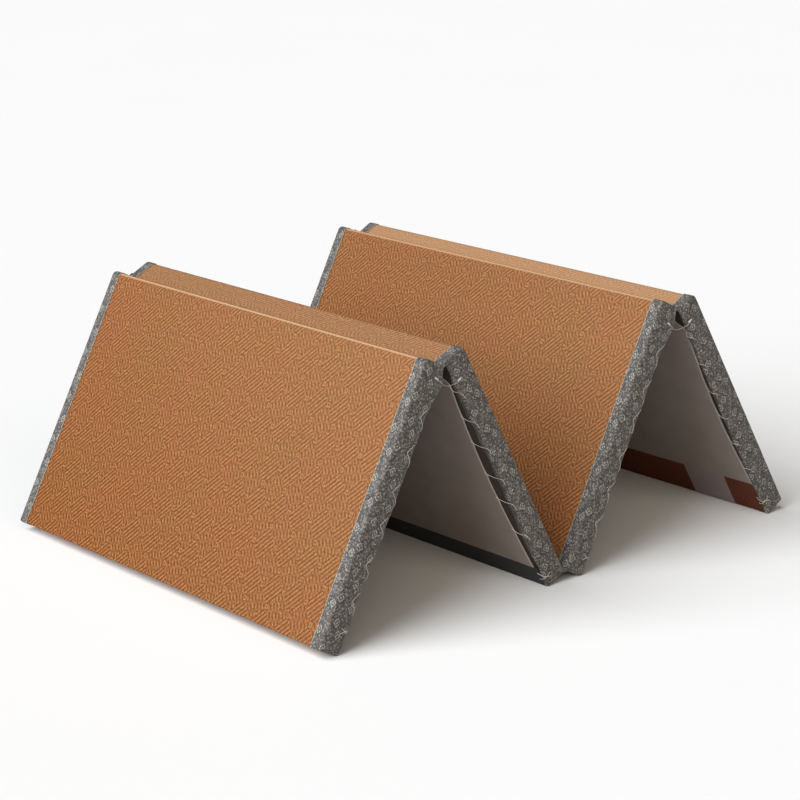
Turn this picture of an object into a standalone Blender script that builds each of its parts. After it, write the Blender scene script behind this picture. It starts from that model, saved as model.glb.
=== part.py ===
"""A folding tatami mat of four stiff padded panels, stood up in the zigzag its cloth hinges give it.

The zigzag runs along X, the folds run along Y and Z is up. A panel has its own section coordinates:
s runs up its slope from the foot, and n runs from the backing (0) to the face (PANEL_THICKNESS).
A layer lies at an inset: its distance in from the outermost surface, which is the binding's."""

import math
from collections import namedtuple

import bmesh
import bpy

# Driving sizes, metres
PANEL_LENGTH = 0.500  # one panel up its slope, so the mat opens to 2 m
PANEL_THICKNESS = 0.045
MAT_WIDTH = 0.900  # along the folds, from side edge to side edge
LAYER_GAP = 0.0003

BINDING = 0.0012  # thickness of the brocade
FLANGE_WIDTH = 0.025  # how far the binding lies over the face
CLOTH = 0.0015
TURN_IN = 0.076  # face cloth showing on the backing at the mat's two ends
LAP = 0.012  # turned-in cloth under the lining
LINING = 0.0012
TAPE = 0.0012
TAPE_HEIGHT = 0.042  # how far the tape goes up the backing
LABEL = 0.001
LABEL_FROM_SIDE = 0.082
LABEL_WIDTH = 0.101

# Round corners, as outer radii
FOOT_RADIUS = 0.004
RIDGE_RADIUS = 0.009
PAD_HINGE_RADIUS = 0.004
NOTCH_RADIUS = 0.002
VALLEY_RADIUS = 0.005
FOOT_NOTCH_RADIUS = 0.005
LINING_FOLD_RADIUS = 0.007
WEB_APEX_RADIUS = 0.0015
ARC_STEPS = 3

# The feet are pressed flat: the sharp corner of each would lie this far under the floor
FOOT_DROP = 0.0021

# Soft shape
FACE_CROWN = 0.002
BACK_CROWN = 0.0015
GROOVE_DEPTH = 0.006  # pads drawn in behind the binding's stitched edge
PANEL_STEPS = 7  # straight runs up a panel, which carry the crown

# One row a panel: where its foot stands, how steeply it leans, whether it rises to the right,
# how far the binding's edge bows out of its backing, and how far its lining stops short of the side
Panel = namedtuple("Panel", "foot_x lean_deg rises edge_bow lining_inset inset_bow")
PANELS = (
    Panel(0.0000, 61.40, True, 0.0050, 0.022, 0.006),
    Panel(0.4645, 63.23, False, -0.0065, 0.022, 0.009),
    Panel(0.5458, 61.90, True, 0.0010, 0.008, 0.012),
    Panel(1.0279, 60.88, False, 0.0020, 0.008, 0.012),
)

CLOTH_INSET = BINDING + LAYER_GAP
CLOTH_INNER = CLOTH_INSET + CLOTH
PAD_INSET = CLOTH_INNER + LAYER_GAP
BACK_INSET = LINING + LAYER_GAP
HALF_WIDTH = MAT_WIDTH / 2
INNER_HALF = HALF_WIDTH - BINDING - LAYER_GAP

COLOURS = {
    "filling": (0.24, 0.20, 0.16, 1.0),
    "woven_face": (0.45, 0.19, 0.07, 1.0),
    "brocade": (0.18, 0.18, 0.17, 1.0),
    "nonwoven": (0.48, 0.45, 0.42, 1.0),
    "tape": (0.01, 0.01, 0.012, 1.0),
    "label": (0.50, 0.47, 0.47, 1.0),
}


# Section geometry, as (x, z) pairs


def axes(panel):
    """A panel's slope and thickness directions in the section."""
    lean = math.radians(panel.lean_deg)
    way = 1 if panel.rises else -1
    return (way * math.cos(lean), math.sin(lean)), (-way * math.sin(lean), math.cos(lean))


def at(panel, s, n):
    """The section point at s up the slope and n in from the backing."""
    up, across = axes(panel)
    return (
        panel.foot_x + s * up[0] + n * across[0],
        s * up[1] + n * across[1] - FOOT_DROP,
    )


def wall_line(panel, wall, inset):
    """A point on one of a panel's four walls, moved in by inset, and the wall's direction."""
    up, across = axes(panel)
    if wall == "back":
        return at(panel, 0, inset), up
    if wall == "face":
        return at(panel, 0, PANEL_THICKNESS - inset), up
    if wall == "foot":
        return at(panel, inset, 0), across
    return at(panel, PANEL_LENGTH - inset, 0), across


def meeting(line_a, line_b):
    """Where two lines of the section cross."""
    (ax, az), (ux, uz) = line_a
    (bx, bz), (vx, vz) = line_b
    along = ((bx - ax) * vz - (bz - az) * vx) / (ux * vz - uz * vx)
    return ax + along * ux, az + along * uz


def fillet(before, corner, after, radius):
    """Points of the arc that rounds a corner between two straight runs."""
    legs = []
    for end in (before, after):
        dx, dz = end[0] - corner[0], end[1] - corner[1]
        length = math.hypot(dx, dz)
        legs.append((dx / length, dz / length))
    (px, pz), (qx, qz) = legs
    half = math.acos(max(-1.0, min(1.0, px * qx + pz * qz))) / 2
    bx, bz = px + qx, pz + qz
    reach = radius / math.sin(half) / math.hypot(bx, bz)
    centre = (corner[0] + bx * reach, corner[1] + bz * reach)
    back = radius / math.tan(half)
    start = (corner[0] + px * back - centre[0], corner[1] + pz * back - centre[1])
    end = (corner[0] + qx * back - centre[0], corner[1] + qz * back - centre[1])
    turn = math.atan2(start[0] * end[1] - start[1] * end[0], start[0] * end[0] + start[1] * end[1])
    points = []
    for step in range(ARC_STEPS + 1):
        angle = turn * step / ARC_STEPS
        c, s = math.cos(angle), math.sin(angle)
        points.append((centre[0] + c * start[0] - s * start[1], centre[1] + s * start[0] + c * start[1]))
    return points


def hump(s, low=0.0):
    """0 at s = low and at the head of a panel, and 1 halfway between."""
    share = (s - low) / (PANEL_LENGTH - low)
    return math.sin(math.pi * min(1.0, max(0.0, share)))


def slope_of(panel, point):
    """How far up a panel's slope a section point lies."""
    up, _ = axes(panel)
    return (point[0] - panel.foot_x) * up[0] + (point[1] + FOOT_DROP) * up[1]


def swollen(panel, point, amount, low=0.0):
    """A section point moved towards the face, by amount where the hump that starts at low is highest."""
    _, across = axes(panel)
    move = amount * hump(slope_of(panel, point), low)
    return point[0] + move * across[0], point[1] + move * across[1]


# The corners of the layered outline: how round each is at inset 0, and whether it gets
# rounder (a fold that opens outwards) or tighter (an outside corner) further in
FOLDS = {
    ("back", "foot"): (FOOT_RADIUS, -1),
    ("foot", "back"): (FOOT_RADIUS, -1),
    ("foot", "face"): (FOOT_RADIUS, -1),
    ("face", "foot"): (FOOT_RADIUS, -1),
    ("face", "head"): (RIDGE_RADIUS, -1),
    ("head", "face"): (RIDGE_RADIUS, -1),
    ("head", "head"): (NOTCH_RADIUS, 1),
    ("face", "face"): (VALLEY_RADIUS, 1),
    ("foot", "foot"): (FOOT_NOTCH_RADIUS, 1),
    ("back", "back"): (LINING_FOLD_RADIUS, 1),
}


def layer_path(walls, start, end, inset, swell, folds=FOLDS):
    """The section line of one surface of a layer, along walls given as (panel, wall).

    swell gives each wall's crown towards the face and where up the slope it starts, or None; a wall
    with a crown is drawn in PANEL_STEPS runs."""
    lines = [wall_line(panel, wall, inset) for panel, wall in walls]
    corners = [start] + [meeting(a, b) for a, b in zip(lines, lines[1:])] + [end]
    arcs = [[start]]
    for index in range(1, len(corners) - 1):
        radius, grows = folds[(walls[index - 1][1], walls[index][1])]
        arcs.append(fillet(corners[index - 1], corners[index], corners[index + 1], radius + grows * inset))
    arcs.append([end])
    path = []
    for index, (panel, wall) in enumerate(walls):
        path += arcs[index]
        crown = swell(panel, wall)
        if crown is None:
            continue
        (ax, az), (bx, bz) = arcs[index][-1], arcs[index + 1][0]
        for step in range(1, PANEL_STEPS):
            share = step / PANEL_STEPS
            point = (ax + (bx - ax) * share, az + (bz - az) * share)
            path.append(swollen(panel, point, *crown))
    return path + arcs[-1]


def flat_footed(path):
    """A section line with what would lie under the floor pressed flat against it."""
    return [(x, max(z, 0.0)) for x, z in path]


def side_share(y, edge):
    """1 along the middle of the mat, falling to 0 at edge and beyond."""
    return max(0.0, 1.0 - (y / edge) ** 2)


# Meshes


def finish(name, bm, colour, roughness):
    """Names a mesh object for its node and gives it its own material."""
    mesh = bpy.data.meshes.new(name)
    bmesh.ops.recalc_face_normals(bm, faces=bm.faces)
    bm.to_mesh(mesh)
    bm.free()
    obj = bpy.data.objects.new(name, mesh)
    bpy.context.scene.collection.objects.link(obj)
    material = bpy.data.materials.new(name)
    material.use_nodes = True
    shader = material.node_tree.nodes["Principled BSDF"]
    shader.inputs["Base Color"].default_value = COLOURS[colour]
    shader.inputs["Roughness"].default_value = roughness
    material.diffuse_color = COLOURS[colour]
    mesh.materials.append(material)
    mesh.shade_smooth()
    mesh.set_sharp_from_angle(angle=math.radians(35))
    return obj


def add_rows(bm, sections):
    """Vertices for a list of (y, points) sections; y may be one value or one for each point."""
    rows = []
    for y, points in sections:
        ys = y if isinstance(y, list) else [y] * len(points)
        rows.append([bm.verts.new((x - MIDDLE_X, depth, z)) for depth, (x, z) in zip(ys, points)])
    return rows


def bridge(bm, row_a, row_b, closed=False):
    """Quads between two rows of the same length."""
    count = len(row_a)
    for index in range(count if closed else count - 1):
        after = (index + 1) % count
        bm.faces.new((row_a[index], row_a[after], row_b[after], row_b[index]))


def sheet(name, stations, colour, roughness):
    """A sheet from stations of (y, outer path, inner path), the paths matching point for point."""
    bm = bmesh.new()
    rings = [(y + y[::-1] if isinstance(y, list) else y, outer + inner[::-1]) for y, outer, inner in stations]
    rows = add_rows(bm, rings)
    for row_a, row_b in zip(rows, rows[1:]):
        bridge(bm, row_a, row_b, closed=True)
    count = len(stations[0][1])
    for row in (rows[0], rows[-1]):
        bridge(bm, row[:count], row[: count - 1 : -1])
    return finish(name, bm, colour, roughness)


def crown_stations(edge, lip):
    """Places across the mat: the side edges at lip, the crown's edge, and between."""
    inner = [edge * share for share in (-1, -0.7, -0.35, 0, 0.35, 0.7, 1)]
    return [-lip] + inner + [lip]


# The face cloth, the binding and the tape follow the same walls of the zigzag
FACE_WALLS = [
    (PANELS[0], "foot"), (PANELS[0], "face"), (PANELS[0], "head"),
    (PANELS[1], "head"), (PANELS[1], "face"),
    (PANELS[2], "face"), (PANELS[2], "head"),
    (PANELS[3], "head"), (PANELS[3], "face"), (PANELS[3], "foot"),
]
CLOTH_WALLS = [(PANELS[0], "back")] + FACE_WALLS + [(PANELS[3], "back")]
TAPE_WALLS = [(PANELS[1], "back"), (PANELS[1], "foot"), (PANELS[2], "foot"), (PANELS[2], "back")]
FLANGE_EDGE = HALF_WIDTH - FLANGE_WIDTH


def straight(_panel, _wall):
    return None


def middle_x():
    """Halfway between the outermost corners of the first and last panels."""
    return (at(PANELS[0], 0, PANEL_THICKNESS)[0] + at(PANELS[3], 0, PANEL_THICKNESS)[0]) / 2


MIDDLE_X = middle_x()


def face_cloth():
    """One length of woven cloth over every face, turned in on the backing at both ends."""
    reach = TURN_IN + LAP
    stations = []
    for y in crown_stations(FLANGE_EDGE, INNER_HALF):
        crown = FACE_CROWN * side_share(y, FLANGE_EDGE)

        def swell(_panel, wall, crown=crown):
            return (crown,) if wall == "face" else None

        surfaces = []
        for inset in (CLOTH_INSET, CLOTH_INNER):
            start, end = at(PANELS[0], reach, inset), at(PANELS[3], reach, inset)
            surfaces.append(layer_path(CLOTH_WALLS, start, end, inset, swell))
        stations.append((y, *surfaces))
    return sheet("face_cloth", stations, "woven_face", 0.55)


def web_edge():
    """The binding's stitched edge: down and up the backings and round the feet, from panel 4 to panel 1."""

    def swell(panel, wall):
        return (-panel.edge_bow,) if wall == "back" else None

    walls = [(PANELS[3], "back"), (PANELS[2], "back"), (PANELS[2], "foot"),
             (PANELS[1], "foot"), (PANELS[1], "back"), (PANELS[0], "back")]
    folds = dict(FOLDS)
    folds[("back", "back")] = (WEB_APEX_RADIUS, 1)
    start, end = at(PANELS[3], FOOT_RADIUS, 0), at(PANELS[0], FOOT_RADIUS, 0)
    return flat_footed(layer_path(walls, start, end, 0, swell, folds))


def edge_binding(name, side):
    """Flange over the face and web over the pads' side edges, as one folded strip. side is -1 or 1."""
    bm = bmesh.new()
    surfaces = []
    for inset in (0, BINDING):
        walls = [(PANELS[0], "back")] + FACE_WALLS + [(PANELS[3], "back")]
        start, end = at(PANELS[0], FOOT_RADIUS, inset), at(PANELS[3], FOOT_RADIUS, inset)
        path = layer_path(walls, start, end, inset, straight)
        surfaces.append(flat_footed(path[1:-1]))
    outer, inner = surfaces
    outside, inside = side * HALF_WIDTH, side * (HALF_WIDTH - BINDING)
    flange = side * FLANGE_EDGE
    rows = add_rows(bm, [(outside, outer), (inside, outer), (flange, outer), (flange, inner), (inside, inner)])
    for row_a, row_b in zip(rows, rows[1:]):
        bridge(bm, row_a, row_b)
    # the web's stitched edge runs back from the outline's last point to its first
    stitched = web_edge()[1:-1]
    edges = add_rows(bm, [(outside, stitched), (inside, stitched)])
    edge_out, edge_in = [[row[-1]] + edge + [row[0]] for row, edge in zip(rows, edges)]
    bridge(bm, edge_out, edge_in)
    bm.faces.new(rows[0] + edges[0])
    bm.faces.new(rows[4] + edge_in)
    for end in (0, -1):
        bm.faces.new([row[end] for row in rows[1:]])
    bmesh.ops.triangulate(bm, faces=[face for face in bm.faces if len(face.verts) > 4])
    return finish(name, bm, "brocade", 0.7)


def ends_the_mat(panel):
    return panel in (PANELS[0], PANELS[3])


def lining_from(panel):
    """How far up the slope the lining starts: above the turned-in cloth or above the tape."""
    return TURN_IN if ends_the_mat(panel) else TAPE_HEIGHT + LAYER_GAP


def back_crown_from(panel):
    """How far up the slope the backing starts to swell, clear of the laps at the foot."""
    return lining_from(panel) + (2 * LAP if ends_the_mat(panel) else LAP)


def lining_edge(panel, s):
    """How far from the middle of the mat the lining reaches."""
    return HALF_WIDTH - panel.lining_inset - panel.inset_bow * hump(s)


def backing_lining(name, left, right):
    """A lining sheet up one backing, folded at the ridge and down the next."""
    walls = [(left, "back"), (right, "back")]
    stations = []
    for share in (-1, -0.6, -0.2, 0.2, 0.6, 1):
        crown = -BACK_CROWN * (1 - share**2)

        def swell(panel, _wall, crown=crown):
            return crown, back_crown_from(panel)

        surfaces = []
        for inset in (0, LINING):
            start, end = at(left, lining_from(left), inset), at(right, lining_from(right), inset)
            surfaces.append(layer_path(walls, start, end, inset, swell))
        count = len(surfaces[0])
        ys = []
        for index, point in enumerate(surfaces[0]):
            panel = left if index < count / 2 else right
            ys.append(share * lining_edge(panel, slope_of(panel, point)))
        stations.append((ys, *surfaces))
    return sheet(name, stations, "nonwoven", 0.85)


def hinge_tape():
    """Black tape round the two feet under the valley."""
    surfaces = []
    for inset in (0, TAPE):
        start, end = at(PANELS[1], TAPE_HEIGHT, inset), at(PANELS[2], TAPE_HEIGHT, inset)
        surfaces.append(flat_footed(layer_path(TAPE_WALLS, start, end, inset, straight)))
    return sheet("hinge_tape", [(-INNER_HALF, *surfaces), (INNER_HALF, *surfaces)], "tape", 0.8)


def blank_label():
    """A bare label on the last panel's turned-in cloth, between its foot and the lining's edge."""
    panel = PANELS[3]
    low, high = CLOTH_INSET + FOOT_RADIUS, TURN_IN - 2 * LAYER_GAP
    lift = CLOTH_INSET - LAYER_GAP - LABEL
    near = -HALF_WIDTH + LABEL_FROM_SIDE
    path = [[at(panel, low, inset), at(panel, high, inset)] for inset in (lift, lift + LABEL)]
    return sheet("blank_label", [(near, *path), (near + LABEL_WIDTH, *path)], "label", 0.7)


def pad_section(panel, y):
    """A pad's closed section at one place across the mat."""
    at_end = ends_the_mat(panel)
    foot_inset = PAD_INSET if at_end else TAPE + LAYER_GAP
    crown = FACE_CROWN * side_share(y, FLANGE_EDGE)
    face_inset = PANEL_THICKNESS - PAD_INSET
    low, high = foot_inset, PANEL_LENGTH - PAD_INSET
    back_low = PAD_INSET if at_end else BACK_INSET
    corners = {
        "foot_back": at(panel, low, back_low),
        "foot_face": at(panel, low, face_inset),
        "head_face": at(panel, high, face_inset),
        "head_back": at(panel, high, BACK_INSET),
    }
    foot_radius = FOOT_RADIUS - foot_inset if FOOT_RADIUS > foot_inset + LAYER_GAP else LAYER_GAP
    foot_back = fillet(corners["foot_face"], corners["foot_back"], at(panel, high, back_low), foot_radius)
    foot_face = fillet(corners["foot_back"], corners["foot_face"], corners["head_face"], foot_radius)
    head_face = fillet(corners["foot_face"], corners["head_face"], corners["head_back"], RIDGE_RADIUS - PAD_INSET)
    head_back = fillet(corners["head_face"], corners["head_back"], at(panel, low, BACK_INSET), PAD_HINGE_RADIUS)
    face = []
    (ax, az), (bx, bz) = foot_face[-1], head_face[0]
    for step in range(1, PANEL_STEPS):
        share = step / PANEL_STEPS
        face.append(swollen(panel, (ax + (bx - ax) * share, az + (bz - az) * share), crown))
    top, swell_from = high - PAD_HINGE_RADIUS, back_crown_from(panel)
    back = []
    for step in range(1, PANEL_STEPS + 1):
        back.append(back_point(panel, top + (swell_from - top) * step / PANEL_STEPS, BACK_INSET, y))
    back.append(back_point(panel, lining_from(panel) + (LAP + LAYER_GAP if at_end else 0), back_low, y))
    return foot_face + face + head_face + head_back + back + foot_back


def back_point(panel, s, inset, y):
    """A point of a pad's backing: crowned in the middle, drawn in behind the binding's edge."""
    edge = lining_edge(panel, s)
    if abs(y) <= edge:
        return at(panel, s, inset - BACK_CROWN * hump(s, back_crown_from(panel)) * side_share(y, edge))
    towards_side = (abs(y) - edge) / (INNER_HALF - edge)
    drawn = max(GROOVE_DEPTH - panel.edge_bow, 0.0) * hump(s)
    return at(panel, s, inset + drawn * towards_side)


def padded_panel(index, panel):
    """One stiff filled pad."""
    bm = bmesh.new()
    narrowest = lining_edge(panel, PANEL_LENGTH / 2)
    places = [INNER_HALF, FLANGE_EDGE, narrowest, 0.6 * narrowest, 0.2 * narrowest]
    places = sorted(places + [-y for y in places])
    rows = add_rows(bm, [(y, pad_section(panel, y)) for y in places])
    for row_a, row_b in zip(rows, rows[1:]):
        bridge(bm, row_a, row_b, closed=True)
    bm.faces.new(rows[0])
    bm.faces.new(rows[-1])
    bmesh.ops.triangulate(bm, faces=[face for face in bm.faces if len(face.verts) > 4])
    return finish(f"padded_panel_{index + 1}", bm, "filling", 0.9)


def build():
    for obj in list(bpy.data.objects):
        bpy.data.objects.remove(obj, do_unlink=True)
    for index, panel in enumerate(PANELS):
        padded_panel(index, panel)
    face_cloth()
    edge_binding("edge_binding_near", -1)
    edge_binding("edge_binding_far", 1)
    backing_lining("backing_lining_1", PANELS[0], PANELS[1])
    backing_lining("backing_lining_2", PANELS[2], PANELS[3])
    hinge_tape()
    blank_label()


build()
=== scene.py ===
"""The looks of the folding tatami mat, which stands in a zigzag: its woven face cloth, brocade edge
bindings, linings, tape, label, pads and whip stitches, with a plain floor, soft light and the camera.

The zigzag runs along X, the folds run along Y and Z is up. A panel has its own section coordinates:
s runs up its slope from the foot, and n runs from the backing (0) to the face (PANEL_THICKNESS).
A layer lies at an inset: its distance in from the outermost surface, which is the binding's."""

import math
import random
from collections import namedtuple

import bmesh
import bpy
import numpy as np
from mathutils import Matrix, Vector
from mathutils.geometry import delaunay_2d_cdt


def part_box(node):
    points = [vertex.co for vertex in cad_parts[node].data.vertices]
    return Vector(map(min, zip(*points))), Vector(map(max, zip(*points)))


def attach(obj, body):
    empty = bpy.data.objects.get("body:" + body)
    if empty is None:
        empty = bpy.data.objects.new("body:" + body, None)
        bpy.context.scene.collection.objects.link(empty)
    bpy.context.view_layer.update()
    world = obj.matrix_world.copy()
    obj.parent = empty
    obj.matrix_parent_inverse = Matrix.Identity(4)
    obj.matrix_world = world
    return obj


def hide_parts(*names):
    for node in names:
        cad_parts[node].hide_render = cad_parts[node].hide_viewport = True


bl_info = {
    "name": "Folding Tatami Mat",
    "version": (1, 0, 0),
    "blender": (4, 5, 0),
    "location": "View3D > Sidebar > Tatami",
    "description": "Dresses the standing mat in woven cloth, brocade binding, lining and stitches",
    "category": "Object",
}

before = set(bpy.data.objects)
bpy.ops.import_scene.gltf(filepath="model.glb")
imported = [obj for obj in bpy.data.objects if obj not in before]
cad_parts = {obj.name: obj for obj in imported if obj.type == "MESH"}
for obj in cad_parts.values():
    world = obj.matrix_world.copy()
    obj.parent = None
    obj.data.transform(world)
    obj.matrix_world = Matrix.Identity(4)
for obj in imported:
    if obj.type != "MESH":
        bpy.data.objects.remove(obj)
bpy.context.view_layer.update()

# Driving sizes of the mat, metres
PANEL_LENGTH = 0.500
PANEL_THICKNESS = 0.045
MAT_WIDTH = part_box("edge_binding_far")[1][1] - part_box("edge_binding_near")[0][1]
HALF_WIDTH = MAT_WIDTH / 2
LAYER_GAP = 0.0003
BINDING = 0.0012
CLOTH = 0.0015
LINING = 0.0012
TAPE = 0.0012
LABEL = 0.001
TURN_IN = 0.076  # face cloth showing on the backing at the mat's two ends
LAP = 0.012  # turned-in cloth under the lining
TAPE_HEIGHT = 0.042
LABEL_FROM_SIDE = 0.082
LABEL_WIDTH = 0.101
FOOT_DROP = 0.0021  # how far the sharp corner of each foot would lie under the floor

# Round corners, as outer radii
FOOT_RADIUS = 0.004
RIDGE_RADIUS = 0.009
PAD_HINGE_RADIUS = 0.004
NOTCH_RADIUS = 0.002
VALLEY_RADIUS = 0.005
FOOT_NOTCH_RADIUS = 0.005
LINING_FOLD_RADIUS = 0.007
WEB_APEX_RADIUS = 0.0015
ROLL_RADIUS = 0.005  # the binding's fold from the side onto the face
TUCK_SHARE = 0.6  # how much further in it goes where the lining is set further in
EDGE_CURL = 0.003  # how much rounder it is along the stitched edge

# Fineness of the meshes
ARC_STEPS = 6
PANEL_STEPS = 56
ROLL_STEPS = 6

# Soft shape
FACE_CROWN = 0.002
BACK_CROWN = 0.0015
WEB_CROWN = 0.0012
GROOVE_DEPTH = 0.008
RIDGE_CUT = 0.026  # how much narrower the lining is where it folds at a ridge
CUT_FROM, CUT_OVER = 0.447, 0.024  # where up a panel that narrowing starts, and over how far
FLARE = 0.009  # how much wider the lining is at a panel's foot and head than halfway
BUNCH_AT = 0.470  # where up a rising panel the web bunches out under the ridge
BUNCH_ABOVE, BUNCH_BELOW = 0.014, 0.036  # how far that bulge reaches up and down
SCALLOP = 0.0009  # how far each stitch draws in the binding's edge, twice as far on a falling panel

# Whip stitches: the first one's place up a panel, their spacing, and how deep they bite into the web
FIRST_STITCH = 0.095
STITCH_SPACING = 0.063
STITCHES = 6
STITCH_BITE = 0.013

Panel = namedtuple(
    "Panel",
    "index foot_x lean_deg rises edge_bow lining_inset inset_bow tie_low tie_high bunch fold_wear head_wear",
)
# The last two numbers of a panel are how pale its cloth is drawn: a painted highlight along its ridge fold, and a
# painted sheen over its head wall.
PANELS = (
    Panel(0, 0.0000, 61.40, True, 0.0050, 0.022, 0.006, 0.043, 0.476, 0.010, 0.85, 0.13),
    Panel(1, 0.4645, 63.23, False, -0.0065, 0.022, 0.009, 0.022, 0.457, 0.0, 0.25, 0.13),
    Panel(2, 0.5458, 61.90, True, 0.0010, 0.008, 0.012, 0.034, 0.467, 0.009, 0.74, 0.22),
    Panel(3, 1.0279, 60.88, False, 0.0020, 0.008, 0.012, 0.032, 0.467, 0.0, 0.25, 0.22),
)
FIRST, SECOND, THIRD, LAST = PANELS

CLOTH_INSET = BINDING + LAYER_GAP
PAD_INSET = CLOTH_INSET + CLOTH + LAYER_GAP
BACK_INSET = LINING + LAYER_GAP
CLOTH_HALF = HALF_WIDTH - 0.005
PAD_HALF = HALF_WIDTH - 0.003
ROLLED_HALF = HALF_WIDTH - WEB_CROWN - ROLL_RADIUS  # where the binding has turned onto the face

Spot = namedtuple("Spot", "x z panel wall s")


def linear(hex_colour):
    """An sRGB hex colour as linear values with alpha."""
    values = [int(hex_colour[k : k + 2], 16) / 255 for k in (1, 3, 5)]
    return [v / 12.92 if v <= 0.04045 else ((v + 0.055) / 1.055) ** 2.4 for v in values] + [1.0]


# What a user would change


def length(name, description, default):
    """A length that a user may change."""
    return bpy.props.FloatProperty(name=name, description=description, default=default, unit="LENGTH")


def dye(name, description, default):
    """A colour that a user may change, given as sRGB hex."""
    return bpy.props.FloatVectorProperty(
        name=name, description=description, default=linear(default), size=4, subtype="COLOR", min=0, max=1)


class MatSizes(bpy.types.PropertyGroup):
    flange_width: length("Flange width", "How far the binding lies over the face", 0.025)
    weave_repeat_across: length("Weave repeat across", "Width of one block pair of the weave, along the folds",
                                0.0582)
    weave_repeat_along: length("Weave repeat along", "Height of one block pair of the weave, up the slope", 0.0631)
    brocade_repeat: length("Brocade repeat", "Length of one repeat of the lozenges along the binding", 0.086)
    brocade_rows: length("Brocade rows", "Distance across the binding after which its lozenges repeat", 0.040)
    thread: length("Thread", "Thickness of the whip-stitching thread", 0.0010)


class MatColours(bpy.types.PropertyGroup):
    rush_light: dye("Weave, raised lines", "Colour of the yarn on top", "#8A5C36")
    rush_dark: dye("Weave, hollows", "Colour between the raised lines", "#5C320A")
    brocade_ground: dye("Brocade ground", "Ground of the edge binding", "#524C48")
    brocade_figure: dye("Brocade lozenges", "Pale yarn of the lozenges", "#A8A69C")
    lining: dye("Lining", "Nonwoven backing", "#81756E")
    tape: dye("Tape", "Tape round the feet under the valley", "#1C1B1D")
    label: dye("Label", "Bare sewn label", "#817273")
    thread: dye("Thread", "Whip stitches", "#D6D0C4")
    floor: dye("Floor", "Plain studio floor", "#E6E6E5")


# Section geometry


def axes(panel):
    """A panel's slope and thickness directions in the section."""
    lean = math.radians(panel.lean_deg)
    way = 1 if panel.rises else -1
    return (way * math.cos(lean), math.sin(lean)), (-way * math.sin(lean), math.cos(lean))


def from_foot(panel, s, n):
    """The section point at s up the slope and n in from the backing, before the mat is centred."""
    up, across = axes(panel)
    return panel.foot_x + s * up[0] + n * across[0], s * up[1] + n * across[1] - FOOT_DROP


MIDDLE_X = (from_foot(FIRST, 0, PANEL_THICKNESS)[0] + from_foot(LAST, 0, PANEL_THICKNESS)[0]) / 2


def at(panel, s, n):
    x, z = from_foot(panel, s, n)
    return x - MIDDLE_X, z


def panel_place(panel, x, z):
    """The s and n of a section point."""
    up, across = axes(panel)
    dx, dz = x + MIDDLE_X - panel.foot_x, z + FOOT_DROP
    return dx * up[0] + dz * up[1], dx * across[0] + dz * across[1]


def wall_line(panel, wall, inset):
    """A point on one of a panel's four walls, moved in by inset, and the wall's direction."""
    up, across = axes(panel)
    if wall == "back":
        return at(panel, 0, inset), up
    if wall == "face":
        return at(panel, 0, PANEL_THICKNESS - inset), up
    if wall == "foot":
        return at(panel, inset, 0), across
    return at(panel, PANEL_LENGTH - inset, 0), across


def meeting(line_a, line_b):
    """Where two lines of the section cross."""
    (ax, az), (ux, uz) = line_a
    (bx, bz), (vx, vz) = line_b
    along = ((bx - ax) * vz - (bz - az) * vx) / (ux * vz - uz * vx)
    return ax + along * ux, az + along * uz


def fillet(before, corner, after, radius, steps=ARC_STEPS):
    """Points of the arc that rounds a corner between two straight runs."""
    a, c, b = (Vector(point) for point in (before, corner, after))
    p, q = (a - c).normalized(), (b - c).normalized()
    half = math.acos(max(-1.0, min(1.0, p.dot(q)))) / 2
    centre = c + (p + q).normalized() * radius / math.sin(half)
    back = radius / math.tan(half)
    start, end = c + p * back - centre, c + q * back - centre
    turn = math.atan2(start.x * end.y - start.y * end.x, start.dot(end))
    points = []
    for step in range(steps + 1):
        cos, sin = math.cos(turn * step / steps), math.sin(turn * step / steps)
        points.append((centre.x + cos * start.x - sin * start.y, centre.y + sin * start.x + cos * start.y))
    return points


def hump(s, low=0.0):
    """0 at s = low and at the head of a panel, and 1 halfway between."""
    share = (s - low) / (PANEL_LENGTH - low)
    return math.sin(math.pi * min(1.0, max(0.0, share)))


def smooth(value):
    """0 below 0, 1 above 1, and a soft step between."""
    value = min(1.0, max(0.0, value))
    return value * value * (3 - 2 * value)


def side_share(y, edge):
    """1 along the middle of the mat, falling to 0 at edge and beyond."""
    return max(0.0, 1.0 - (y / edge) ** 2)


# How round each corner of the layered outline is at inset 0, and whether it gets rounder (a fold
# that opens outwards) or tighter (an outside corner) further in
FOLDS = {
    ("back", "foot"): (FOOT_RADIUS, -1),
    ("foot", "back"): (FOOT_RADIUS, -1),
    ("foot", "face"): (FOOT_RADIUS, -1),
    ("face", "foot"): (FOOT_RADIUS, -1),
    ("face", "head"): (RIDGE_RADIUS, -1),
    ("head", "face"): (RIDGE_RADIUS, -1),
    ("head", "head"): (NOTCH_RADIUS, 1),
    ("face", "face"): (VALLEY_RADIUS, 1),
    ("foot", "foot"): (FOOT_NOTCH_RADIUS, 1),
    ("back", "back"): (LINING_FOLD_RADIUS, 1),
}
WEB_FOLDS = {**FOLDS, ("back", "back"): (WEB_APEX_RADIUS, 1)}
LONG_WALLS = ("face", "back")


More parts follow.
